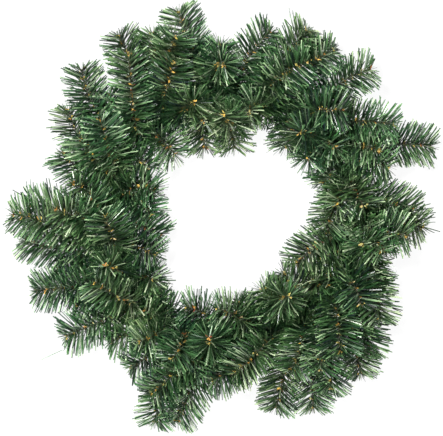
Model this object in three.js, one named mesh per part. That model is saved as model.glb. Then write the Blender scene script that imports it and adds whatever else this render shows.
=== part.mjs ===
// Evergreen wreath, lying on its back: a wire ring with brush-like branches wound
// round it. Each branch is one twisted wire with a brush of needles at either end.
// Millimetres. +Z is the wreath's front and +Y its top. The origin is under the middle
// of the wreath, on the surface that it lies on.
import * as THREE from "three";

const mix = THREE.MathUtils.lerp;
const rad = THREE.MathUtils.degToRad;
const cos = (degrees) => Math.cos(rad(degrees));
const sin = (degrees) => Math.sin(rad(degrees));

// ---------------------------------------------------------------- driving dimensions
const RING_RADIUS = 150; // to the middle of the ring's wire
const RING_WIRE = 2; // radius of the ring's wire
const RING_STEPS = 72;
const RING_SIDES = 6;
const STEM = 1.5; // corner radius of a stem's section
const STEM_TIP = 1.05; // the same at the very end of a brush
const SIDES = 3;
const GAP = 0.35; // kept between pieces

// The coil of a branch round the ring is made of straight lengths, one COIL_STEP each.
// Its turn is counted from outwards over the front, so it starts and ends in front.
const COIL_STEP = 60;
const COIL_FROM = 120; // where the outer brush leaves the coil
const COIL_TO_HOLE = 420; // where a second brush that stands over the hole leaves it
const COIL_TO_FRONT = 360; // where any other second brush leaves it
const COIL_RADIUS = STEM + (RING_WIRE + GAP) / cos(COIL_STEP / 2);
const COIL_PITCH = 7;
const RING_HEIGHT = (COIL_RADIUS + STEM / 2) * sin(COIL_STEP); // coils lie flat on z = 0

// The way of a stem from its coil to its tip
const LEAD = 15; // how far it keeps the direction in which it leaves the coil
const BARE = 13; // length with no needles next to the coil
const CROWN = 8; // from a stem's tip to the end of its brush
const BEND_SHARE = 0.5; // of the way from the coil to the tip, for the last bend
const STEM_RODS = 14;
const LIFTS = [0, 3, -3, 6, -6, 9, -9, 12, -12, 15, 18, 22]; // tried until it is clear
const SWAYS = [0, 7, -7, 12, -12];
const ROOM_BELOW = 4;

// How the needles stand
const NEEDLE_LENGTH = 32;
const NEEDLE_FOOT = 2; // length of a needle's foot along its stem
const WHORL_STEP = 13.4; // between two whorls of six needles
const WHORL_TURN = 23; // degrees that each whorl is turned from the one before
const SPREAD = 66; // degrees between a needle and its stem
const TIP_SPREAD = 62; // the same in the last whorl
const TIP_SHARE = 0.74; // the length of the last needles, as a share of the others'
const FAN = 30; // degrees between a needle and the middle of its face, round the stem
const JITTER = 6; // degrees
const TRIES = 16;
const FLOOR = 0.5; // the lowest that a needle reaches
const FOOT_SHARE = 0.22; // the part of a needle that may be close to its neighbours
const FOOT_THICK = 1.35; // from a needle's middle line to its corners, at its foot
const POINT_THICK = 0.1; // the same at its point

// Each branch: its place on the ring in degrees from +X, then the ends of its outer
// brush and of its second brush, as [x, y, height, heading, tilt]. The first three are
// from the middle of the ring. A brush ends on its heading, in degrees from +X, and
// tilted towards the viewer by its tilt.
const BRANCHES = [
  [1, [184, -100, 26, 284, 0], [158, -26, 70, 125, 45]],
  [7, [246, -14, 28, 345, 0], [189, -48, 62, 297, 30]],
  [14, [234, 8, 32, 340, 5], [118, -26, 34, 258, 10]],
  [21, [168, 8, 66, 306, 12], [125, 10, 62, 237, 30]],
  [28, [200, 60, 56, 335, 15], [108, 38, 34, 228, 5]],
  [35, [258, 90, 26, 355, 0], [133, 82, 66, 318, 15]],
  [41, [188, 82, 70, 342, 40], [90, 66, 60, 240, 25]],
  [47, [208, 115, 58, 350, 0], [77, 105, 92, 176, 42]],
  [53, [180, 187, 46, 15, 0], [145, 130, 80, 350, 8]],
  [60, [150, 150, 30, 20, 0], [64, 82, 44, 245, 15]],
  [67, [115, 227, 34, 59, 5], [19, 122, 66, 262, 40]],
  [74, [133, 211, 56, 25, 5], [100, 195, 66, 17, 14]],
  [82, [98, 240, 46, 49, 8], [-11, 134, 84, 105, 45]],
  [90, [54, 238, 40, 42, 8], [-4, 185, 84, 330, 45]],
  [98, [-68, 265, 44, 105, 5], [-37, 113, 70, 255, 40]],
  [104, [-12, 224, 46, 80, 14], [2, 80, 30, 268, 5]],
  [110, [-52, 224, 34, 88, 10], [-33, 80, 36, 275, 10]],
  [116, [-100, 240, 28, 95, 0], [-41, 144, 84, 20, 50]],
  [124, [-145, 236, 30, 115, 5], [-69, 198, 72, 70, 20]],
  [132, [-68, 230, 58, 70, 40], [-66, 74, 50, 312, 20]],
  [140, [-156, 164, 36, 106, 5], [-129, 208, 66, 96, 8]],
  [148, [-188, 193, 46, 98, 8], [-97, 58, 34, 325, 10]],
  [156, [-206, 144, 28, 100, 5], [-165, 129, 64, 105, 10]],
  [163, [-190, 106, 60, 118, 15], [-97, -3, 42, 300, 20]],
  [170, [-217, 88, 34, 131, 8], [-91, 28, 40, 322, 15]],
  [176, [-204, 48, 50, 150, 15], [-82, -26, 34, 333, 10]],
  [182, [-262, 16, 24, 176, 0], [-176, 30, 66, 113, 35]],
  [188, [-224, 14, 68, 160, 10], [-88, -50, 50, 335, 10]],
  [194, [-280, 6, 48, 170, 0], [-198, 11, 60, 144, 25]],
  [200, [-268, -25, 26, 164, 0], [-159, 10, 76, 110, 15]],
  [206, [-226, -60, 30, 156, 10], [-159, -58, 92, 163, 60]],
  [212, [-252, -91, 44, 185, 5], [-98, -92, 36, 283, 10]],
  [218, [-204, -112, 28, 196, 0], [-93, -82, 52, 315, 15]],
  [225, [-214, -150, 42, 203, 8], [-175, -73, 74, 141, 12]],
  [232, [-160, -156, 26, 195, 0], [-115, -110, 44, 138, 10]],
  [239, [-124, -154, 58, 193, 8], [-86, -97, 30, 20, 10]],
  [246, [-134, -191, 26, 209, 0], [-80, -180, 66, 228, 20]],
  [254, [-98, -264, 24, 260, 0], [-30, -141, 84, 105, 45]],
  [262, [-108, -224, 44, 218, 15], [-66, -110, 32, 171, 5]],
  [270, [-72, -262, 26, 248, 0], [-75, -198, 40, 211, 10]],
  [277, [-32, -207, 46, 209, 5], [-26, -110, 58, 165, 10]],
  [284, [-8, -204, 34, 235, 5], [6, -96, 34, 95, 10]],
  [291, [-2, -198, 62, 224, 10], [32, -96, 40, 164, 10]],
  [298, [53, -246, 24, 254, 0], [74, -96, 92, 0, 58]],
  [305, [102, -246, 26, 271, 0], [71, -195, 54, 243, 5]],
  [311, [108, -196, 60, 262, 10], [34, -82, 44, 128, 15]],
  [317, [122, -222, 36, 263, 5], [58, -64, 34, 135, 10]],
  [325, [134, -174, 68, 273, 10], [92, -74, 40, 150, 20]],
  [332, [172, -178, 30, 270, 5], [161, -116, 60, 280, 8]],
  [338, [162, -202, 26, 280, 0], [126, -92, 34, 290, 0]],
  [344, [184, -134, 44, 273, 8], [104, -56, 34, 200, 10]],
  [352, [224, -24, 50, 345, 15], [76, -64, 30, 231, 0]],
];

// ---------------------------------------------------------------- small helpers
const UP = new THREE.Vector3(0, 0, 1);
const vector = ([x, y, z]) => new THREE.Vector3(x, y, z);
const along = (start, direction, distance) => start.clone().addScaledVector(direction, distance);
const within = (share) => Math.min(1, Math.max(0, share));

// A seeded stream of numbers from -1 to 1, so that every run grows the same wreath
function drawsFrom(seed) {
  let state = seed;
  return () => {
    state = (state + 0x6d2b79f5) | 0;
    let t = Math.imul(state ^ (state >>> 15), 1 | state);
    t = (t + Math.imul(t ^ (t >>> 7), 61 | t)) ^ t;
    return (((t ^ (t >>> 14)) >>> 0) / 4294967296) * 2 - 1;
  };
}

// ---------------------------------------------------------------- keeping clear
// A rod is a straight length of stem or needle: thick at its start, thin at its end.
// Its owner says which branch it belongs to, and which arm and whorl of it.
function rod(start, end, thick, thin, owner) {
  const span = end.clone().sub(start);
  const middle = start.clone().lerp(end, 0.5);
  return { start, span, middle, half: span.length() / 2, thick, thin, ...owner };
}

const chain = (points, radius, owner) =>
  points.slice(1).map((end, step) => rod(points[step], end, radius, radius, { ...owner, step }));

// The gap between two rods, where their middle lines come nearest to each other
function gapBetween(one, two) {
  const reach = one.half + two.half + one.thick + two.thick + GAP;
  if (one.middle.distanceToSquared(two.middle) > reach * reach) return Infinity;
  const apart = one.start.clone().sub(two.start);
  const oneOne = one.span.dot(one.span);
  const twoTwo = two.span.dot(two.span);
  const oneTwo = one.span.dot(two.span);
  const oneApart = one.span.dot(apart);
  const twoApart = two.span.dot(apart);
  const skew = oneOne * twoTwo - oneTwo * oneTwo;
  const guess = skew > 1e-9 ? within((oneTwo * twoApart - twoTwo * oneApart) / skew) : 0;
  const onTwo = within((oneTwo * guess + twoApart) / twoTwo);
  const onOne = within((oneTwo * onTwo - oneApart) / oneOne);
  apart.addScaledVector(one.span, onOne).addScaledVector(two.span, -onTwo);
  return apart.length() - mix(one.thick, one.thin, onOne) - mix(two.thick, two.thin, onTwo);
}

// ---------------------------------------------------------------- the ring
function ringGeometry() {
  const torus = new THREE.TorusGeometry(RING_RADIUS, RING_WIRE, RING_SIDES, RING_STEPS);
  return torus.translate(0, 0, RING_HEIGHT);
}

function ringRods() {
  const corners = Array.from({ length: RING_STEPS + 1 }, (_, i) => {
    const turn = (360 / RING_STEPS) * i;
    return vector([RING_RADIUS * cos(turn), RING_RADIUS * sin(turn), RING_HEIGHT]);
  });
  return chain(corners, RING_WIRE, { ring: true });
}

// ---------------------------------------------------------------- a branch's wire
// A station is a place on the wire: its middle, its direction towards the second brush,
// a normal, and the corner radius of the section there.
function coilStations(clock, until) {
  const out = vector([cos(clock), sin(clock), 0]);
  const round = UP.clone().cross(out);
  const ringMiddle = vector([RING_RADIUS * out.x, RING_RADIUS * out.y, RING_HEIGHT]);
  const stations = [];
  for (let turn = COIL_FROM; turn <= until; turn += COIL_STEP) {
    const normal = along(out.clone().multiplyScalar(cos(turn)), UP, sin(turn));
    const direction = along(out.clone().multiplyScalar(-sin(turn)), UP, cos(turn));
    const shift = ((turn - (COIL_FROM + until) / 2) / 360) * COIL_PITCH;
    const middle = along(along(ringMiddle, normal, COIL_RADIUS), round, shift);
    stations.push({ middle, direction, normal, radius: STEM, turn: 0 });
  }
  return stations;
}

function stemCurve(start, leaving, end, lift, sway) {
  const [x, y, height, heading, tilt] = end;
  const ahead = vector([cos(heading) * cos(tilt), sin(heading) * cos(tilt), sin(tilt)]);
  const aside = ahead.clone().cross(UP).normalize();
  const tip = along(vector([x, y, height + lift]), ahead, -CROWN);
  const bend = along(tip, ahead, -BEND_SHARE * start.distanceTo(tip));
  bend.addScaledVector(aside, sway);
  return new THREE.CubicBezierCurve3(start, along(start, leaving, LEAD), bend, tip);
}

// The least room that a stem has, to the rods laid before it and to the surface below
function roomFor(rods, laid) {
  let room = Infinity;
  for (const mine of rods) {
    room = Math.min(room, mine.middle.z - STEM - ROOM_BELOW);
    for (const other of laid) {
      const isOwnSeat = mine.step < 2 && (other.ring || other.branch === mine.branch);
      if (!isOwnSeat) room = Math.min(room, gapBetween(mine, other));
    }
  }
  return room;
}

// A stem's curve, with the first of the lifts and sways that takes it clear of the rest
function layStem(start, leaving, end, owner, laid) {
  let best = { room: -Infinity };
  for (const sway of SWAYS) {
    for (const lift of LIFTS) {
      const curve = stemCurve(start, leaving, end, lift, sway);
      const rods = chain(curve.getSpacedPoints(STEM_RODS), STEM, owner);
      const room = roomFor(rods, laid);
      if (room > best.room) best = { room, curve, rods };
      if (room > GAP) break;
    }
    if (best.room > GAP) break;
  }
  laid.push(...best.rods);
  return best.curve;
}

// Stations from the coil to the tip. A whorl is a short length whose faces grow needles.
function stemStations(curve, seat, forward, owner) {
  const length = curve.getLength();
  const count = Math.max(3, Math.round((length - BARE) / WHORL_STEP));
  const step = (length - BARE - NEEDLE_FOOT) / (count - 1);
  const places = [{ distance: BARE / 3, turn: 0 }, { distance: (BARE * 2) / 3, turn: 0 }];
  for (let i = 0; i < count; i++) {
    const whorl = { ...owner, forward, place: i / (count - 1) };
    const distance = BARE + i * step;
    places.push({ distance, turn: i * WHORL_TURN, whorl });
    places.push({ distance: distance + NEEDLE_FOOT, turn: i * WHORL_TURN, whorl });
  }
  const normal = seat.normal.clone();
  return places.map(({ distance, turn, whorl }) => {
    const share = within(distance / length);
    const direction = curve.getTangentAt(share).multiplyScalar(forward);
    normal.addScaledVector(direction, -normal.dot(direction)).normalize();
    const radius = mix(STEM, STEM_TIP, share);
    return { middle: curve.getPointAt(share), direction, normal: normal.clone(), radius, turn, whorl };
  });
}

// ---------------------------------------------------------------- growing needles
// A direction square to the wire, at an angle from the station's normal
function radial(station, angle) {
  const across = station.direction.clone().cross(station.normal);
  return along(station.normal.clone().multiplyScalar(cos(angle)), across, sin(angle));
}

const cornerAngle = (station, k) => 180 + (360 / SIDES) * k + station.turn;

// A needle's foot may be close to its own whorl and its own stem, but not its blade
function isClear(foot, blade, whorl, laid) {
  return laid.every((other) => {
    const isOwn = other.whorl ? other.whorl === whorl : other.branch === whorl.branch;
    return gapBetween(blade, other) > GAP && (isOwn || gapBetween(foot, other) > GAP);
  });
}

// The point of a needle on a foot of three corners, or null where there is no room. The
// first drawn direction is taken in which it is clear of all that was laid before it.
function growNeedle(corners, station, angle, spread, laid, draw) {
  const { whorl } = station;
  const middle = corners.reduce((sum, p) => sum.add(p), new THREE.Vector3());
  middle.divideScalar(corners.length);
  const length = NEEDLE_LENGTH * mix(1, TIP_SHARE, whorl.place ** 6);
  for (let attempt = 0; attempt < TRIES; attempt++) {
    const loose = JITTER * (1 + attempt / 4);
    const lean = spread + draw() * loose;
    const outwards = radial(station, angle + draw() * loose);
    const direction = along(outwards.multiplyScalar(sin(lean)), station.direction, cos(lean) * whorl.forward);
    const point = along(middle, direction, length * (1 - attempt / 40));
    const lowest = FLOOR * (2 + draw());
    point.z = Math.max(point.z, lowest);
    const elbow = middle.clone().lerp(point, FOOT_SHARE);
    const elbowThick = mix(FOOT_THICK, POINT_THICK, FOOT_SHARE);
    const foot = rod(middle, elbow, FOOT_THICK, elbowThick, { whorl });
    const blade = rod(elbow, point, elbowThick, POINT_THICK, { whorl });
    if (isClear(foot, blade, whorl, laid)) {
      laid.push(foot, blade);
      return point;
    }
  }
  return null;
}

// A wire's surface: triangles between sections, some of them raised to a point
class Skin {
  corners = [];
  faces = [];

  section(station) {
    return Array.from({ length: SIDES }, (_, k) => {
      const outwards = radial(station, cornerAngle(station, k));
      return this.corners.push(along(station.middle, outwards, station.radius)) - 1;
    });
  }

  face(a, b, c, grow = () => null) {
    const point = grow([a, b, c].map((index) => this.corners[index]));
    if (point) {
      const tip = this.corners.push(point) - 1;
      this.faces.push([a, b, tip], [b, c, tip], [c, a, tip]);
    } else {
      this.faces.push([a, b, c]);
    }
  }

  geometry() {
    const geometry = new THREE.BufferGeometry().setFromPoints(this.corners);
    return geometry.setIndex(this.faces.flat());
  }
}

function branchGeometry(stations, laid, draw) {
  const skin = new Skin();
  const sections = stations.map((station) => skin.section(station));
  const needleAt = (station, angle, spread) => (corners) =>
    growNeedle(corners, station, angle, spread, laid, draw);

  for (let i = 0; i + 1 < stations.length; i++) {
    const station = stations[i];
    const { whorl } = station;
    const grows = whorl && whorl === stations[i + 1].whorl;
    const spread = grows && mix(SPREAD, TIP_SPREAD, whorl.place ** 6);
    for (let k = 0; k < SIDES; k++) {
      const next = (k + 1) % SIDES;
      const [a, b] = [sections[i][k], sections[i][next]];
      const [c, d] = [sections[i + 1][next], sections[i + 1][k]];
      const facing = cornerAngle(station, k) + 180 / SIDES;
      skin.face(a, b, c, grows ? needleAt(station, facing + FAN, spread) : undefined);
      skin.face(a, c, d, grows ? needleAt(station, facing - FAN, spread) : undefined);
    }
  }
  skin.face(...sections[0].toReversed());
  skin.face(...sections.at(-1));
  return skin.geometry();
}

// ---------------------------------------------------------------- putting it together
const wirePaint = () => new THREE.MeshStandardMaterial({ color: 0x2e4a2c, roughness: 0.5, metalness: 0.3 });
const needleFilm = () => new THREE.MeshStandardMaterial({ color: 0x44603f, roughness: 0.45, metalness: 0 });

function named(name, geometry, material) {
  const mesh = new THREE.Mesh(geometry, material);
  mesh.name = name;
  return mesh;
}

function makeWreath() {
  const draw = drawsFrom(17);
  const laid = ringRods();
  const branches = BRANCHES.map(([clock, outer, second], branch) => {
    const overHole = Math.hypot(second[0], second[1]) < RING_RADIUS;
    const coil = coilStations(clock, overHole ? COIL_TO_HOLE : COIL_TO_FRONT);
    laid.push(...chain(coil.map((station) => station.middle), STEM, { branch }));
    return { branch, coil, outer, second };
  });

  // All the stems are laid before any needle grows, so that needles give way to stems
  for (const one of branches) {
    const [start, end] = [one.coil[0], one.coil.at(-1)];
    const owner = { branch: one.branch };
    const outwards = start.direction.clone().negate();
    const outerCurve = layStem(start.middle, outwards, one.outer, { ...owner, arm: 0 }, laid);
    const secondCurve = layStem(end.middle, end.direction, one.second, { ...owner, arm: 1 }, laid);
    const outer = stemStations(outerCurve, start, -1, { ...owner, arm: 0 });
    const second = stemStations(secondCurve, end, 1, { ...owner, arm: 1 });
    one.stations = [...outer.reverse(), ...one.coil, ...second];
  }

  const wreath = new THREE.Group();
  wreath.add(named("ring_wire", ringGeometry(), wirePaint()));
  for (const { branch, stations } of branches) {
    const name = `branch_${String(branch + 1).padStart(2, "0")}`;
    wreath.add(named(name, branchGeometry(stations, laid, draw), needleFilm()));
  }
  const box = new THREE.Box3().setFromObject(wreath);
  wreath.position.set(-(box.min.x + box.max.x) / 2, -(box.min.y + box.max.y) / 2, 0);
  return wreath;
}

export default makeWreath();
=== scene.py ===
import math

import bpy
import numpy as np
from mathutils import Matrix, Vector


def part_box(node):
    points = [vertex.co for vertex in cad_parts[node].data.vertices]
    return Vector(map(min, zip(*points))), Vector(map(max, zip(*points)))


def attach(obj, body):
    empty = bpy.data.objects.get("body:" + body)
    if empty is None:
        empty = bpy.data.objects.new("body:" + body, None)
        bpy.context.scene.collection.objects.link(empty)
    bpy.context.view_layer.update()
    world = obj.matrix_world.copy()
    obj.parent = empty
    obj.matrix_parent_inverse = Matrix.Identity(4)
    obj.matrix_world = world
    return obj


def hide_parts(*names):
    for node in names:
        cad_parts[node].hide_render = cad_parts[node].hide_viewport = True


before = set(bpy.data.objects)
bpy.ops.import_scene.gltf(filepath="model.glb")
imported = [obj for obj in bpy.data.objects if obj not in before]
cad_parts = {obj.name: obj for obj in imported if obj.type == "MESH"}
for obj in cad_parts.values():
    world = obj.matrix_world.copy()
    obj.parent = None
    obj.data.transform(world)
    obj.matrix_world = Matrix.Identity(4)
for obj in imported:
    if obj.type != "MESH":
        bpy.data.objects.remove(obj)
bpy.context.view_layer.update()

# ---------------------------------------------------------------- driving dimensions
RING_RADIUS = 0.150  # to the middle of the ring's wire
RING_WIRE = 0.0021  # radius of the ring's wire with its coating
RING_STEPS = 180
RING_SIDES = 12

STRAND = 0.00042  # radius of one of the two strands of a branch's wire
STRAND_SIDES = 6
STRAND_STEPS = 9  # sections in one full turn of the strands
TWIST_PITCH = 0.0075  # length of one full turn of the strands
COIL_REACH = 0.005  # a station nearer than this to the ring's middle line is in the coil
COIL_RADIUS = RING_WIRE + 2 * STRAND  # of the real coil, which grips the ring
LINE_STEP = 0.001  # between two points of a smooth line

NEEDLE_LENGTH = 0.0318
NEEDLE_WIDTH = 0.0015
NEEDLE_RIDGE = 0.00028  # height of the crease along its back
NEEDLE_STEPS = 3
NEEDLE_PITCH = 0.00024  # length of stem for each needle
NEEDLE_HELIX = 0.011  # length of stem in which its rows of needles go once round it
NEEDLE_START = 0.006  # from the coil to the first needle
SPREAD = 67  # between a needle and its stem
TIP_SPREAD = 56  # the same at the end of a brush
TIP_REACH = 0.022  # the length of stem over which it changes
TIP_LENGTH = 0.86  # of the last needles, as a share of the others'
END_REACH = 0.008  # how far a needle may reach past the end of its stem, times END_REACHES
FOOT_WIDTH = 0.8  # of a strip, as a share of its width further on
END_WIDTH = 0.86
LOWEST = 0.0006  # the least height of a strip's middle line above the surface
LOWEST_RISE = 0.002  # the most that a needle's random draw adds to it

SCALE_LENGTH = 0.0044
SCALE_WIDTH = 0.0023
SCALE_RIDGE = 0.0004
SCALE_STEPS = 2
SCALE_MARGIN = 0.0005  # the least length of stem past a bud scale
CLUSTER_STEP = 0.0112  # between two clusters of bud scales
CLUSTER_COUNT = 5
CLUSTER_MIN = 2  # the fewest clusters on a brush

# ---------------------------------------------------------------- random differences
# Where nothing else is said, one number is a standard deviation, and two are the least and
# the most.
SEED = 17
ROW_NOISE = 13  # of a needle's turn round its stem, from its row
NEEDLE_TWIST = 24  # of a needle's turn about its own length
STEADY_LEAN = 2.4  # of the lean of most needles
LOOSE_LEAN = 15  # of the lean of the loose ones
LOOSE_SHARE = 0.1  # the share of needles that are loose
COIL_LEAN = 8  # of the lean of those on a coil
NEEDLE_BEND = 0.03  # as a share of its length, out of its flat side
NEEDLE_SWAY = 0.014  # the same, to its edge
STRAY_BEND = 0.02  # the same, of the needles that stand out on their own
NEEDLE_WIDTHS = (0.85, 1.1)  # as shares of NEEDLE_WIDTH
TYPICAL_LENGTH = 0.985  # the middle of the lengths, as a share of NEEDLE_LENGTH
LENGTH_NOISE = 0.05
NEEDLE_LENGTHS = (0.85, 1.1)
COIL_LENGTHS = (0.8, 1.0)
END_REACHES = (0.7, 1.2)  # as shares of END_REACH
SCALE_PLACES = 0.0014  # about the middle of its cluster
SCALE_SPREADS = (50, 100)
SCALE_TURNS = (0, 180)
SCALE_BEND = 0.15
SCALE_LENGTHS = (0.7, 1.3)
SCALE_WIDTHS = (0.7, 1.2)

# A film draw, from 0 to 1, picks a strip's place in the table of its colours. A needle's draw also
# carries painted shade, on and next to the coils, and painted light at the ends of the brushes.
FILM_SHAPE = (1.35, 1.6)  # of the beta distribution that a needle's draw comes from
BRUSH_TONE = 0.06  # of what all the needles of a brush share
COIL_PAINTED_SHADE = 0.3  # painted shade: the draws of the needles on a coil, as a share of the others'
DEEP_PAINTED_SHADE = 0.8  # painted shade: the same for those that are next to a coil
DEEP_REACH = 0.035  # the length of stem over which it changes
TIP_PAINTED_LIGHT = 0.07  # painted light: added to the draws at the end of a brush
CLUSTER_TONE = 0.6  # the share of a bud scale's draw that its cluster has in common

# ---------------------------------------------------------------- colours
# Colours are given from 0 to 255, as a screen shows them.
# The pale grey-green at 0.93 is partly the film's own colour and partly painted highlight, for the
# sheen of the glossy needles.
NEEDLE_COLOURS = (
    (0.0, (24, 38, 40)),
    (0.05, (12, 33, 19)),
    (0.3, (21, 53, 26)),
    (0.58, (57, 94, 54)),
    (0.78, (104, 133, 94)),
    (0.93, (158, 176, 147)),
    (1.0, (66, 110, 60)),
)
# Painted shade and light along a needle: from foot to end, its colour is multiplied by these, dark at
# the foot deep in the brush and paler at the end.
NEEDLE_PAINTED_SHADES = (
    (0.0, (0.42, 0.42, 0.4)),
    (0.35, (0.7, 0.7, 0.67)),
    (0.75, (1.06, 1.06, 1.02)),
    (1.0, (1.38, 1.34, 1.25)),
)
SCALE_COLOURS = (
    (0.0, (128, 52, 38)),
    (0.12, (156, 98, 50)),
    (0.4, (190, 152, 66)),
    (0.66, (196, 180, 92)),
    (0.82, (200, 178, 130)),
    (1.0, (148, 162, 78)),
)
STRAND_COLOURS = ((0.35, (50, 46, 31)), (0.62, (72, 63, 41)), (0.8, (102, 89, 62)))
RING_COLOURS = ((0.35, (30, 52, 34)), (0.66, (44, 74, 48)), (0.82, (86, 96, 80)))

# ---------------------------------------------------------------- the photograph's frame
PIXEL = 0.00125  # the size of a pixel at SCALE_HEIGHT, which is in the foliage
SCALE_HEIGHT = 0.035
IMAGE_WIDTH = 443
IMAGE_MIDDLE = (221.5, 218.0)
RING_MIDDLE = (232.0, 218.0)  # where the ring's middle lies in the photograph, in pixels
CAMERA_HEIGHT = 2.4
SENSOR = 36.0  # its width in millimetres
CLIP_START = 0.05
CLIP_END = 50

# Needles that stand out on their own: where each leaves the foliage, and its end, in pixels
STRAYS = (
    (62, 350, 41, 359),
    (26, 198, 12, 189),
    (28, 197, 26, 181),
    (31, 196, 30, 179),
    (33, 197, 32, 182),
    (48, 193, 45, 178),
    (51, 193, 49, 178),
    (262, 26, 259, 14),
    (265, 26, 267, 14),
    (294, 36, 289, 8),
    (296, 34, 292, 11),
    (297, 36, 296, 14),
    (299, 30, 297, 14),
    (412, 209, 431, 204),
    (412, 211, 434, 208),
    (415, 216, 436, 212),
    (416, 220, 436, 217),
    (418, 223, 436, 223),
    (421, 226, 441, 231),
    (420, 226, 435, 233),
)
STRAY_ROOT = 0.012  # how far each one reaches back into the foliage
STRAY_WIDTH = 0.0012
STRAY_FILM = (0.1, 0.4)  # the least and the most of their film draws
PALE_STRAY = 0  # the row of the one that is pale
PALE_FILM = 0.66

# ---------------------------------------------------------------- the stage
STAGE_REACH = 6.0
BACKDROP_SIDES = 64
BACKDROP_HEIGHT = 4.0
PAPER_ALBEDO = 0.06
PAPER_GLOW = 0.92
WORLD_LIGHT = 0.115
SOFTBOXES = (  # name, place, size and power of each, all aimed at the middle of the floor
    ("key", (-0.45, 0.55, 1.8), 0.32, 76),
    ("fill", (1.1, -0.3, 1.4), 0.4, 11),
    ("rim", (-0.7, -1.0, 1.2), 0.4, 19),
)

# ---------------------------------------------------------------- reading the CAD mesh
DECIMALS = 6  # to which corners are rounded, to join those that faces share
POINT_FACES = 3  # faces that meet in the point of a needle
END_NEIGHBOURS = 4  # of a corner in the first or last section of a wire

# ---------------------------------------------------------------- UV maps
CELL_MARGIN = 0.04  # round the strip in its cell of the map
CAP_PLACES = ((0, 0.4, 0.2), (0.5, 0.9, 0.7))  # of the corners of a strip's two ends
TUBE_ROWS = 12  # rows that a tube is cut into, side by side
ROW_WIDTH = 0.94  # the share of a row that its stretch of tube fills
ROW_HEIGHT = 0.98
END_MIDDLE = 0.99  # where the ends of a tube lie
END_SIZE = 0.005

# The sockets of a Mix node that mixes colours
MIX_AMOUNT, MIX_FIRST, MIX_SECOND = 0, 6, 7
MIX_RESULT = 2

rng = np.random.default_rng(SEED)


# ---------------------------------------------------------------- small helpers
def linear(colour):
    """A colour of 0 to 255 in the linear light that a shader wants."""
    shares = [value / 255 for value in colour]
    light = [s / 12.92 if s <= 0.04045 else ((s + 0.055) / 1.055) ** 2.4 for s in shares]
    return (*light, 1.0)


def unit(vectors):
    return vectors / np.linalg.norm(vectors, axis=-1, keepdims=True)


def square_to(vectors, axes):
    """Unit vectors that lean the way of vectors and are square to axes."""
    return unit(vectors - axes * np.sum(vectors * axes, axis=-1, keepdims=True))


def turned(vectors, axes, degrees):
    """Vectors square to their axes, turned about them."""
    angles = np.radians(degrees)[:, None]
    return vectors * np.cos(angles) + np.cross(axes, vectors) * np.sin(angles)


def corners_of(mesh):
    points = np.empty(len(mesh.vertices) * 3)
    mesh.vertices.foreach_get("co", points)
    return points.reshape(-1, 3)


# ---------------------------------------------------------------- the branches' lines
ring_low, ring_high = (np.array(corner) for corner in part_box("ring_wire"))
ring_middle = (ring_low + ring_high) / 2


def wire_stations(mesh):
    """The middles of the sections of a branch's wire, in order from one tip to the other.
    A corner that only three faces meet in is the point of a needle."""
    rounded = np.round(corners_of(mesh), DECIMALS)
    _, same = np.unique(rounded, axis=0, return_inverse=True)
    same = same.ravel()
    points = np.zeros((same.max() + 1, 3))
    points[same] = corners_of(mesh)
    loops = np.empty(len(mesh.loops), np.int64)
    mesh.loops.foreach_get("vertex_index", loops)
    faces = same[loops].reshape(-1, 3)
    is_wire = np.bincount(faces.ravel()) > POINT_FACES
    near = {corner: set() for corner in np.flatnonzero(is_wire)}
    for a, b in ((0, 1), (1, 2), (2, 0)):
        for one, two in faces[:, (a, b)]:
            if is_wire[one] and is_wire[two]:
                near[one].add(two)
                near[two].add(one)
    at_end = {corner for corner in near if len(near[corner]) == END_NEIGHBOURS}
    start = next(corner for corner in near if corner in at_end)
    section = {start} | (near[start] & at_end)
    seen = set()
    middles = []
    while section:
        middles.append(points[sorted(section)].mean(axis=0))
        seen |= section
        section = set().union(*(near[corner] for corner in section)) - seen
    return np.array(middles)


def to_ring(points):
    """The point of the ring's middle line that is nearest to each point."""
    flat = points - ring_middle
    flat[:, 2] = 0
    return ring_middle + unit(flat) * RING_RADIUS


class Line:
    """A smooth curve through points, with a direction and a normal all along it."""

    ASIDE = (0.3, 0.5, 0.8)  # the first normal is square to this and to the line's start
    LEAST_STEPS = 4

    def __init__(self, stations):
        gaps = np.linalg.norm(np.diff(stations, axis=0), axis=1)
        knots = np.concatenate([[0], np.cumsum(gaps)])
        slopes = np.diff(stations, axis=0) / gaps[:, None]
        before, after = gaps[:-1, None], gaps[1:, None]
        inner = (slopes[:-1] * after + slopes[1:] * before) / (after + before)
        tangents = np.concatenate([slopes[:1], inner, slopes[-1:]])
        count = max(self.LEAST_STEPS, int(knots[-1] / LINE_STEP))
        at = np.linspace(0, knots[-1], count + 1)
        span = np.clip(np.searchsorted(knots, at, side="right") - 1, 0, len(gaps) - 1)
        t = ((at - knots[span]) / gaps[span])[:, None]
        h = gaps[span][:, None]
        self.points = (
            (1 + 2 * t) * (1 - t) ** 2 * stations[span]
            + t * (1 - t) ** 2 * h * tangents[span]
            + t * t * (3 - 2 * t) * stations[span + 1]
            + t * t * (t - 1) * h * tangents[span + 1]
        )
        steps = np.linalg.norm(np.diff(self.points, axis=0), axis=1)
        self.places = np.concatenate([[0], np.cumsum(steps)])
        self.length = self.places[-1]
        self.directions = unit(np.gradient(self.points, axis=0))
        normal = np.cross(self.directions[0], self.ASIDE)
        self.normals = np.empty_like(self.points)
        for i, direction in enumerate(self.directions):
            normal = unit(normal - direction * normal.dot(direction))
            self.normals[i] = normal

    def read(self, values, places):
        """Values of the line's points, read at places along it."""
        columns = [np.interp(places, self.places, values[:, axis]) for axis in range(3)]
        return np.stack(columns, axis=1)

    def around(self, places, degrees):
        """Points and directions at places along the line, and directions square to it at
        those turns round it."""
        directions = unit(self.read(self.directions, places))
        normals = square_to(self.read(self.normals, places), directions)
        return self.read(self.points, places), directions, turned(normals, directions, degrees)


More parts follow.
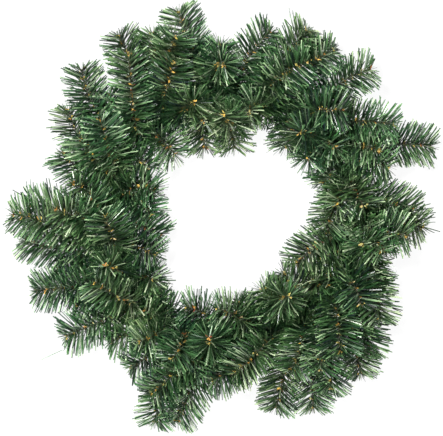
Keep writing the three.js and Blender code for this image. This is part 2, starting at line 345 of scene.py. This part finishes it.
# ---------------------------------------------------------------- meshes
def make_piece(name, points, faces, uvs, material, values=None, smooth=False):
    mesh = bpy.data.meshes.new(name)
    mesh.from_pydata(points.tolist(), [], faces)
    layer = mesh.uv_layers.new(name="OFBake")
    layer.data.foreach_set("uv", np.asarray(uvs, np.float32).ravel())
    for key, numbers in (values or {}).items():
        attribute = mesh.attributes.new(key, "FLOAT", "POINT")
        attribute.data.foreach_set("value", np.asarray(numbers, np.float32))
    if smooth:
        mesh.shade_smooth()
    mesh.materials.append(material)
    piece = bpy.data.objects.new(name, mesh)
    bpy.context.scene.collection.objects.link(piece)
    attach(piece, "root")
    return piece


def strip_faces(steps):
    """Faces of one three-sided strip, and the place of each face's corners in its cell of
    the UV map."""
    faces = []
    uvs = []
    for j in range(steps):
        low, high = j / (steps + 1), (j + 1) / (steps + 1)
        for k in range(3):
            m = (k + 1) % 3
            faces.append((3 * j + k, 3 * j + m, 3 * j + 3 + m, 3 * j + 3 + k))
            left, right = k / 3, (k + 1) / 3
            uvs += [(left, low), (right, low), (right, high), (left, high)]
    faces.append((2, 1, 0))
    faces.append((3 * steps, 3 * steps + 1, 3 * steps + 2))
    top = steps / (steps + 1)
    for left, right, middle in CAP_PLACES:
        uvs += [(left, top), (right, top), (middle, 1)]
    return faces, np.array(uvs) * (1 - 2 * CELL_MARGIN) + CELL_MARGIN


def strips(feet, directions, across, lengths, widths, ridge, steps, bends, rise):
    """Corners of thin strips with a crease along the back. Each ends blunt and is bent by
    its bend, as a share of its length. Where it would come too low, its middle line is
    lifted to LOWEST and its rise, of which the foot gets half."""
    normals = np.cross(directions, across)
    sections = []
    for j in range(steps + 1):
        s = j / steps
        middle = feet + (directions * s + bends * s * s) * lengths[:, None]
        middle[:, 2] = np.maximum(middle[:, 2], rise * (0.5 + 0.5 * s) + LOWEST)
        share = FOOT_WIDTH if j == 0 else END_WIDTH if j == steps else 1.0
        half = across * (widths * share)[:, None] / 2
        sections.append(np.stack([middle - half, middle + half, middle + normals * ridge], axis=1))
    return np.stack(sections, axis=1).reshape(len(feet), -1, 3)


def strip_piece(name, corners, film, steps, material):
    """A piece of many strips, each with its film draw."""
    count = len(corners)
    faces, cell = strip_faces(steps)
    side = math.ceil(math.sqrt(count))
    origin = np.stack([np.arange(count) % side, np.arange(count) // side], axis=1)
    uvs = (origin[:, None, :] + cell[None]) / side
    size = corners.shape[1]
    all_faces = [tuple(size * i + c for c in face) for i in range(count) for face in faces]
    along = np.tile(np.repeat(np.linspace(0, 1, steps + 1), 3), count)
    values = {"film": np.repeat(film, size), "along": along}
    return make_piece(name, corners.reshape(-1, 3), all_faces, uvs.reshape(-1, 2), material, values)


def tube(points, normals, sides, radius, closed=False):
    """Corners, faces and UVs of a round tube along points."""
    directions = unit(np.gradient(points, axis=0))
    normals = square_to(normals, directions)
    across = np.cross(directions, normals)
    turns = np.linspace(0, 2 * math.pi, sides, endpoint=False)
    cosines, sines = np.cos(turns)[None, :, None], np.sin(turns)[None, :, None]
    rim = cosines * normals[:, None] + sines * across[:, None]
    corners = (points[:, None] + rim * radius).reshape(-1, 3)
    steps = len(points) if closed else len(points) - 1
    per_row = math.ceil(steps / TUBE_ROWS)
    faces = []
    uvs = []
    for j in range(steps):
        row, v = divmod(j, per_row)
        low, high = v / per_row * ROW_HEIGHT, (v + 1) / per_row * ROW_HEIGHT
        here, following = sides * j, sides * ((j + 1) % len(points))
        for k in range(sides):
            m = (k + 1) % sides
            faces.append((here + k, here + m, following + m, following + k))
            left = (row + k / sides * ROW_WIDTH) / TUBE_ROWS
            right = (row + (k + 1) / sides * ROW_WIDTH) / TUBE_ROWS
            uvs += [(left, low), (right, low), (right, high), (left, high)]
    if not closed:
        circle = [(END_SIZE * math.cos(t), END_SIZE * math.sin(t)) for t in turns]
        for end in (range(sides - 1, -1, -1), range(sides * steps, sides * steps + sides)):
            faces.append(tuple(end))
            uvs += [(END_MIDDLE + u, END_MIDDLE + v) for u, v in circle]
    return corners, faces, uvs


# ---------------------------------------------------------------- materials
class Shader:
    """A Principled shader with its nodes, wired by short calls."""

    def __init__(self, name, **sockets):
        self.material = bpy.data.materials.new(name)
        self.material.use_nodes = True
        self.tree = self.material.node_tree
        self.shader = self.tree.nodes["Principled BSDF"]
        for socket, value in sockets.items():
            self.shader.inputs[socket.replace("_", " ")].default_value = value

    def node(self, kind, inputs=None, **settings):
        made = self.tree.nodes.new(kind)
        for key, value in settings.items():
            setattr(made, key, value)
        for socket, value in (inputs or {}).items():
            if isinstance(value, bpy.types.NodeSocket):
                self.tree.links.new(value, made.inputs[socket])
            else:
                made.inputs[socket].default_value = value
        return made

    def link(self, socket, value):
        self.tree.links.new(value, self.shader.inputs[socket])

    def attribute(self, name):
        return self.node("ShaderNodeAttribute", attribute_name=name).outputs["Fac"]

    def noise(self, scale, detail=2.0):
        place = self.node("ShaderNodeTexCoord").outputs["Object"]
        inputs = {"Vector": place, "Scale": scale, "Detail": detail}
        return self.node("ShaderNodeTexNoise", inputs).outputs["Fac"]

    def ramp(self, value, stops):
        """The colour at value in a table of places and linear colours."""
        made = self.node("ShaderNodeValToRGB", {"Fac": value})
        elements = made.color_ramp.elements
        while len(elements) < len(stops):
            elements.new(0.5)
        for element, (position, colour) in zip(elements, stops):
            element.position = position
            element.color = colour
        return made.outputs["Color"]

    def colours(self, value, stops):
        """The same in a table of places and colours of 0 to 255."""
        return self.ramp(value, [(position, linear(colour)) for position, colour in stops])

    def multiply(self, amount, first, second):
        inputs = {MIX_AMOUNT: amount, MIX_FIRST: first, MIX_SECOND: second}
        made = self.node("ShaderNodeMix", inputs, data_type="RGBA", blend_type="MULTIPLY")
        return made.outputs[MIX_RESULT]

    def remap(self, value, low, high):
        inputs = {"Value": value, "To Min": low, "To Max": high}
        return self.node("ShaderNodeMapRange", inputs).outputs["Result"]

    def bump(self, height, strength, distance):
        inputs = {"Height": height, "Strength": strength, "Distance": distance}
        self.link("Normal", self.node("ShaderNodeBump", inputs).outputs["Normal"])


def needle_film():
    look = Shader("needle_film", Specular_IOR_Level=0.68)
    colours = look.colours(look.attribute("film"), NEEDLE_COLOURS)
    # painted shade along each needle: dark at its foot, painted lighter at its end
    painted_shades = [(place, (*shade, 1)) for place, shade in NEEDLE_PAINTED_SHADES]
    colours = look.multiply(1.0, colours, look.ramp(look.attribute("along"), painted_shades))
    blotch = look.remap(look.noise(scale=900.0), low=0.8, high=1.2)
    colours = look.multiply(0.5, colours, blotch)
    hue = look.remap(look.noise(scale=13.0), low=0.56, high=0.43)
    varied = look.node("ShaderNodeHueSaturation", {"Hue": hue, "Color": colours})
    look.link("Base Color", varied.outputs["Color"])
    look.link("Roughness", look.remap(look.noise(scale=400.0), low=0.26, high=0.46))
    return look.material


def bud_scale():
    look = Shader("bud_scale")
    colours = look.colours(look.attribute("film"), SCALE_COLOURS)
    blotch = look.remap(look.noise(scale=1200.0), low=0.7, high=1.2)
    look.link("Base Color", look.multiply(0.6, colours, blotch))
    look.link("Roughness", look.remap(look.noise(scale=700.0), low=0.55, high=0.85))
    return look.material


def strand_paint():
    look = Shader("strand_paint", Metallic=0.3)
    worn = look.noise(scale=260.0, detail=4.0)
    look.link("Base Color", look.colours(worn, STRAND_COLOURS))
    look.link("Roughness", look.remap(look.noise(scale=500.0), low=0.4, high=0.7))
    look.bump(look.noise(scale=1800.0, detail=3.0), strength=0.35, distance=0.0001)
    return look.material


def ring_coating():
    look = Shader("ring_coating", Metallic=0.15)
    worn = look.noise(scale=90.0, detail=4.0)
    look.link("Base Color", look.colours(worn, RING_COLOURS))
    look.link("Roughness", look.remap(look.noise(scale=240.0), low=0.35, high=0.6))
    look.bump(look.noise(scale=900.0, detail=3.0), strength=0.3, distance=0.0002)
    return look.material


def studio_paper():
    grey = (PAPER_ALBEDO, PAPER_ALBEDO, PAPER_ALBEDO, 1)
    white = (1, 1, 1, 1)
    look = Shader(
        "studio_paper",
        Roughness=0.9,
        Base_Color=grey,
        Emission_Color=white,
        Emission_Strength=PAPER_GLOW,
    )
    return look.material


NEEDLE_FILM = needle_film()
BUD_SCALE = bud_scale()
STRAND_PAINT = strand_paint()
RING_COATING = ring_coating()


# ---------------------------------------------------------------- brushes
def lean(directions, radials, degrees):
    """Directions that stand off the line by these angles, towards radials."""
    angles = np.radians(degrees)[:, None]
    return unit(directions * np.cos(angles) + radials * np.sin(angles))


def grow(points, directions, radials, spread, lengths):
    """The corners and the film draws of needles that stand on a wire."""
    count = len(points)
    heading = lean(directions, radials, spread)
    across = square_to(directions, heading)
    across = turned(across, heading, rng.normal(0, NEEDLE_TWIST, count))
    bends = np.cross(across, heading) * rng.normal(0, NEEDLE_BEND, count)[:, None]
    bends = bends + across * rng.normal(0, NEEDLE_SWAY, count)[:, None]
    widths = NEEDLE_WIDTH * rng.uniform(*NEEDLE_WIDTHS, count)
    rise = rng.random(count) * LOWEST_RISE
    feet = points + radials * STRAND
    corners = strips(feet, heading, across, lengths, widths, NEEDLE_RIDGE, NEEDLE_STEPS, bends, rise)
    film = np.clip(rng.beta(*FILM_SHAPE, count) + rng.normal(0, BRUSH_TONE), 0, 1)
    return corners, film


def needles_on(line):
    """The needles of a brush, from its coil to its tip, in two rows that wind round it."""
    count = int((line.length - NEEDLE_START) / NEEDLE_PITCH)
    order = np.arange(count)
    places = NEEDLE_START + (order + rng.random(count)) * NEEDLE_PITCH
    turns = places / NEEDLE_HELIX * 360 + order % 2 * 180 + rng.normal(0, ROW_NOISE, count)
    points, directions, radials = line.around(places, turns)
    to_tip = line.length - places
    tip = np.clip(1 - to_tip / TIP_REACH, 0, 1)
    lean_noise = np.where(rng.random(count) < LOOSE_SHARE, LOOSE_LEAN, STEADY_LEAN)
    spread = SPREAD + (TIP_SPREAD - SPREAD) * tip + rng.normal(0, 1, count) * lean_noise
    lengths = NEEDLE_LENGTH * (1 + (TIP_LENGTH - 1) * tip**2)
    lengths = lengths * np.clip(rng.normal(TYPICAL_LENGTH, LENGTH_NOISE, count), *NEEDLE_LENGTHS)
    to_end = END_REACH * rng.uniform(*END_REACHES, count) + to_tip
    most = to_end / np.cos(np.radians(spread))
    lengths = np.where(most > 0, np.minimum(lengths, most), lengths)
    corners, film = grow(points, directions, radials, spread, lengths)
    # painted shade on the needles next to the coil, and painted light on those at the end of the brush
    depth = np.clip(1 - places / DEEP_REACH, 0, 1)
    film = np.clip(film * (1 - depth * (1 - DEEP_PAINTED_SHADE)) + TIP_PAINTED_LIGHT * tip, 0, 1)
    return corners, film


def needles_on_coil(line):
    """The needles of a coil, which all stand away from the ring and from the surface."""
    count = int(line.length / NEEDLE_PITCH)
    places = rng.uniform(0, line.length, count)
    points, directions, radials = line.around(places, rng.uniform(0, 360, count))
    away = unit(points - to_ring(points))
    inwards = np.minimum(0, np.sum(radials * away, axis=1, keepdims=True))
    radials = unit(radials - 2 * inwards * away)
    radials[:, 2] = np.abs(radials[:, 2])
    directions = directions * rng.choice((-1, 1), count)[:, None]
    lengths = NEEDLE_LENGTH * rng.uniform(*COIL_LENGTHS, count)
    spread = rng.normal(SPREAD, COIL_LEAN, count)
    corners, film = grow(points, directions, radials, spread, lengths)
    # the coil's needles, deep in the wreath, are painted darker as painted shade
    return corners, film * COIL_PAINTED_SHADE


def scales_on(line):
    """The corners and the film draws of a brush's bud scales, which stand in clusters."""
    reach = line.length - NEEDLE_START
    clusters = max(CLUSTER_MIN, int(reach / CLUSTER_STEP))
    middles = NEEDLE_START + (np.arange(clusters) + 1) / clusters * reach
    count = clusters * CLUSTER_COUNT
    places = np.repeat(middles, CLUSTER_COUNT) + rng.normal(0, SCALE_PLACES, count)
    places = np.clip(places, 0, line.length - SCALE_MARGIN)
    points, directions, radials = line.around(places, rng.uniform(0, 360, count))
    heading = lean(directions, radials, rng.uniform(*SCALE_SPREADS, count))
    across = square_to(directions, heading)
    across = turned(across, heading, rng.uniform(*SCALE_TURNS, count))
    bends = across * rng.normal(0, SCALE_BEND, count)[:, None]
    lengths = SCALE_LENGTH * rng.uniform(*SCALE_LENGTHS, count)
    widths = SCALE_WIDTH * rng.uniform(*SCALE_WIDTHS, count)
    feet = points + radials * STRAND
    rise = np.zeros(count)
    corners = strips(feet, heading, across, lengths, widths, SCALE_RIDGE, SCALE_STEPS, bends, rise)
    shared = np.repeat(rng.random(clusters), CLUSTER_COUNT)
    film = np.clip(shared * CLUSTER_TONE + rng.random(count) * (1 - CLUSTER_TONE), 0, 1)
    return corners, film


def strands_on(line):
    """Corners, faces and UVs of the two strands of a branch's wire."""
    steps = int(line.length / TWIST_PITCH * STRAND_STEPS)
    places = np.linspace(0, line.length, steps + 1)
    corners = []
    faces = []
    uvs = []
    size = 0
    for start, shift in ((0, 0.0), (180, 0.5)):
        points, _, radials = line.around(places, places / TWIST_PITCH * 360 + start)
        points = points + radials * STRAND
        strand_corners, strand_faces, strand_uvs = tube(points, radials, STRAND_SIDES, STRAND)
        corners.append(strand_corners)
        faces += [tuple(size + c for c in face) for face in strand_faces]
        uvs.append(np.array(strand_uvs) * (0.5, 1.0) + (shift, 0.0))
        size += len(strand_corners)
    return np.concatenate(corners), faces, np.concatenate(uvs)


def make_branch(name, node):
    """Makes the pieces of one branch, and gives the points of its wire."""
    stations = wire_stations(node.data)
    from_ring = stations - to_ring(stations)
    in_coil = np.linalg.norm(from_ring, axis=1) < COIL_REACH
    gripped = to_ring(stations) + unit(from_ring) * COIL_RADIUS
    stations = np.where(in_coil[:, None], gripped, stations)
    first, last = np.flatnonzero(in_coil)[[0, -1]]

    needles = [needles_on_coil(Line(stations[first - 1 : last + 2]))]
    scales = []
    for run in (stations[first::-1], stations[last:]):
        line = Line(run)
        needles.append(needles_on(line))
        scales.append(scales_on(line))

    corners, film = (np.concatenate(part) for part in zip(*needles))
    brush = strip_piece(f"{name}_needles", corners, film, NEEDLE_STEPS, NEEDLE_FILM)
    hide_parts(name)

    corners, film = (np.concatenate(part) for part in zip(*scales))
    buds = strip_piece(f"{name}_bud_scales", corners, film, SCALE_STEPS, BUD_SCALE)

    corners, faces, uvs = strands_on(Line(stations))
    wire = make_piece(f"{name}_wire", corners, faces, uvs, STRAND_PAINT, smooth=True)
    return stations


def make_ring():
    turns = np.linspace(0, 2 * math.pi, RING_STEPS, endpoint=False)
    out = np.stack([np.cos(turns), np.sin(turns), np.zeros(RING_STEPS)], axis=1)
    points = ring_middle + out * RING_RADIUS
    corners, faces, uvs = tube(points, out, RING_SIDES, RING_WIRE, closed=True)
    ring = make_piece("ring", corners, faces, uvs, RING_COATING, smooth=True)
    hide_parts("ring_wire")


def make_strays(wires):
    """The needles that stand out on their own, each as high as the wire nearest to it."""
    scale = np.array([PIXEL, -PIXEL])
    table = np.array(STRAYS, float)
    starts = ring_middle[:2] + (table[:, :2] - RING_MIDDLE) * scale
    ends = ring_middle[:2] + (table[:, 2:] - RING_MIDDLE) * scale
    to_wires = np.linalg.norm(starts[:, None] - wires[None, :, :2], axis=2)
    heights = wires[to_wires.argmin(axis=1), 2]
    reaches = np.linalg.norm(ends - starts, axis=1)
    count = len(table)
    directions = np.column_stack([(ends - starts) / reaches[:, None], np.zeros(count)])
    feet = np.column_stack([starts, heights]) - directions * STRAY_ROOT
    across = np.cross((0, 0, 1), directions)
    across = turned(across, directions, rng.normal(0, NEEDLE_TWIST, count))
    bends = across * rng.normal(0, STRAY_BEND, count)[:, None]
    lengths = reaches + STRAY_ROOT
    widths = np.full(count, STRAY_WIDTH)
    rise = np.zeros(count)
    corners = strips(feet, directions, across, lengths, widths, NEEDLE_RIDGE, NEEDLE_STEPS, bends, rise)
    film = rng.uniform(*STRAY_FILM, count)
    film[PALE_STRAY] = PALE_FILM
    strays = strip_piece("stray_needles", corners, film, NEEDLE_STEPS, NEEDLE_FILM)


wires = []
for node_name, node in sorted(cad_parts.items()):
    if node_name.startswith("branch_"):
        wires.append(make_branch(node_name, node))
make_ring()
make_strays(np.concatenate(wires))


# ---------------------------------------------------------------- floor, light, camera
def make_stage_piece(name, points, faces, material):
    mesh = bpy.data.meshes.new(name)
    mesh.from_pydata(points, [], faces)
    mesh.materials.append(material)
    piece = bpy.data.objects.new(name, mesh)
    bpy.context.scene.collection.objects.link(piece)
    return piece


def make_floor(material):
    reach = STAGE_REACH
    corners = [(-reach, -reach, 0), (reach, -reach, 0), (reach, reach, 0), (-reach, reach, 0)]
    make_stage_piece("floor", corners, [(0, 1, 2, 3)], material)


def make_backdrop(material):
    """Pale paper all round, as the camera sees it. It casts no light or shadow on the part."""
    points = []
    faces = []
    for i in range(BACKDROP_SIDES):
        turn = 2 * math.pi * i / BACKDROP_SIDES
        x, y = STAGE_REACH * math.cos(turn), STAGE_REACH * math.sin(turn)
        points += [(x, y, 0), (x, y, BACKDROP_HEIGHT)]
        following = (i + 1) % BACKDROP_SIDES
        faces.append((2 * i, 2 * following, 2 * following + 1, 2 * i + 1))
    backdrop = make_stage_piece("backdrop", points, faces, material)
    backdrop.visible_diffuse = False
    backdrop.visible_glossy = False
    backdrop.visible_shadow = False


def make_softbox(name, place, size, power):
    data = bpy.data.lights.new(name, "AREA")
    data.shape = "SQUARE"
    data.size = size
    data.energy = power
    light = bpy.data.objects.new(name, data)
    light.location = place
    light.rotation_euler = (-Vector(place)).to_track_quat("-Z", "Y").to_euler()
    bpy.context.scene.collection.objects.link(light)


def make_world():
    world = bpy.data.worlds.new("studio")
    world.use_nodes = True
    background = world.node_tree.nodes["Background"]
    background.inputs["Color"].default_value = (1, 1, 1, 1)
    background.inputs["Strength"].default_value = WORLD_LIGHT
    bpy.context.scene.world = world


def make_camera():
    data = bpy.data.cameras.new("camera")
    distance = CAMERA_HEIGHT - SCALE_HEIGHT
    data.sensor_width = SENSOR
    data.lens = SENSOR * distance / (IMAGE_WIDTH * PIXEL)
    data.clip_start = CLIP_START
    data.clip_end = CLIP_END
    camera = bpy.data.objects.new("camera", data)
    camera.location = (
        ring_middle[0] + (IMAGE_MIDDLE[0] - RING_MIDDLE[0]) * PIXEL,
        ring_middle[1] - (IMAGE_MIDDLE[1] - RING_MIDDLE[1]) * PIXEL,
        CAMERA_HEIGHT,
    )
    bpy.context.scene.collection.objects.link(camera)
    bpy.context.scene.camera = camera


paper = studio_paper()
make_floor(paper)
make_backdrop(paper)
for softbox in SOFTBOXES:
    make_softbox(*softbox)
make_world()
make_camera()
bpy.context.scene.view_settings.view_transform = "Standard"
